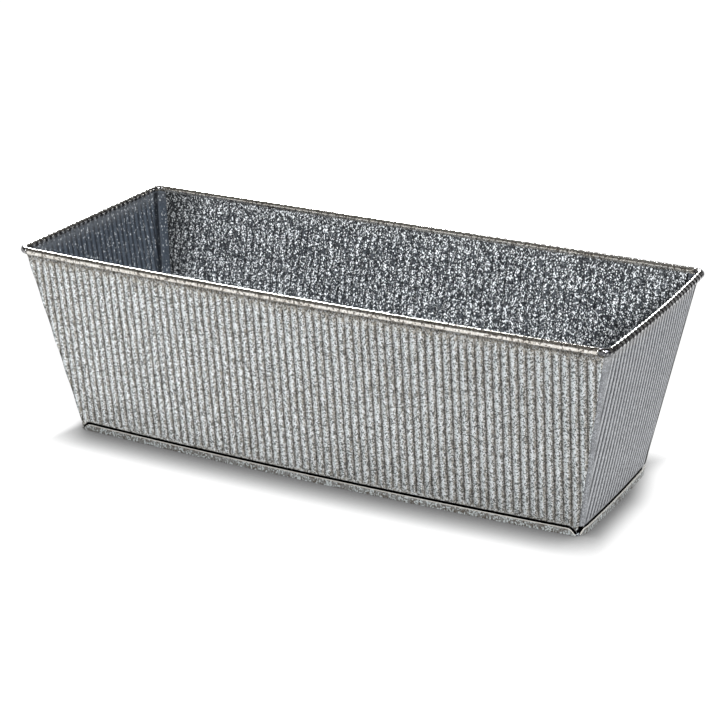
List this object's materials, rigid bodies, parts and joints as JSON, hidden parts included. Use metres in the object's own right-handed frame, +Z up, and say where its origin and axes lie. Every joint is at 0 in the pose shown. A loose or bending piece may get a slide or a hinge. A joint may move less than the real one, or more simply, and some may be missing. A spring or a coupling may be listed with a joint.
{
  "type": "window box planter",
  "caption": "Long tapered window box planter of ribbed galvanised sheet, with a rim rolled over wire and a hemmed base pan.",
  "frame": {"origin": "middle of the base, on the floor that the box stands on", "axes": "+Z up, +X along the box to the right as seen from the front, -Y out of the front wall"},
  "size_m": [0.6096, 0.2476, 0.1968],
  "materials": {
    "ribbed_sheet": "hot-dipped zinc, dull, finely speckled",
    "plain_sheet": "hot-dipped zinc, dull",
    "wire": "zinc-coated, dull"
  },
  "bodies": {
    "root": {"front_wall": "ribbed_sheet", "back_wall": "ribbed_sheet", "right_end_wall": "ribbed_sheet", "left_end_wall": "ribbed_sheet", "base_pan": "plain_sheet", "rim_wire": "wire"}
  },
  "joints": []
}
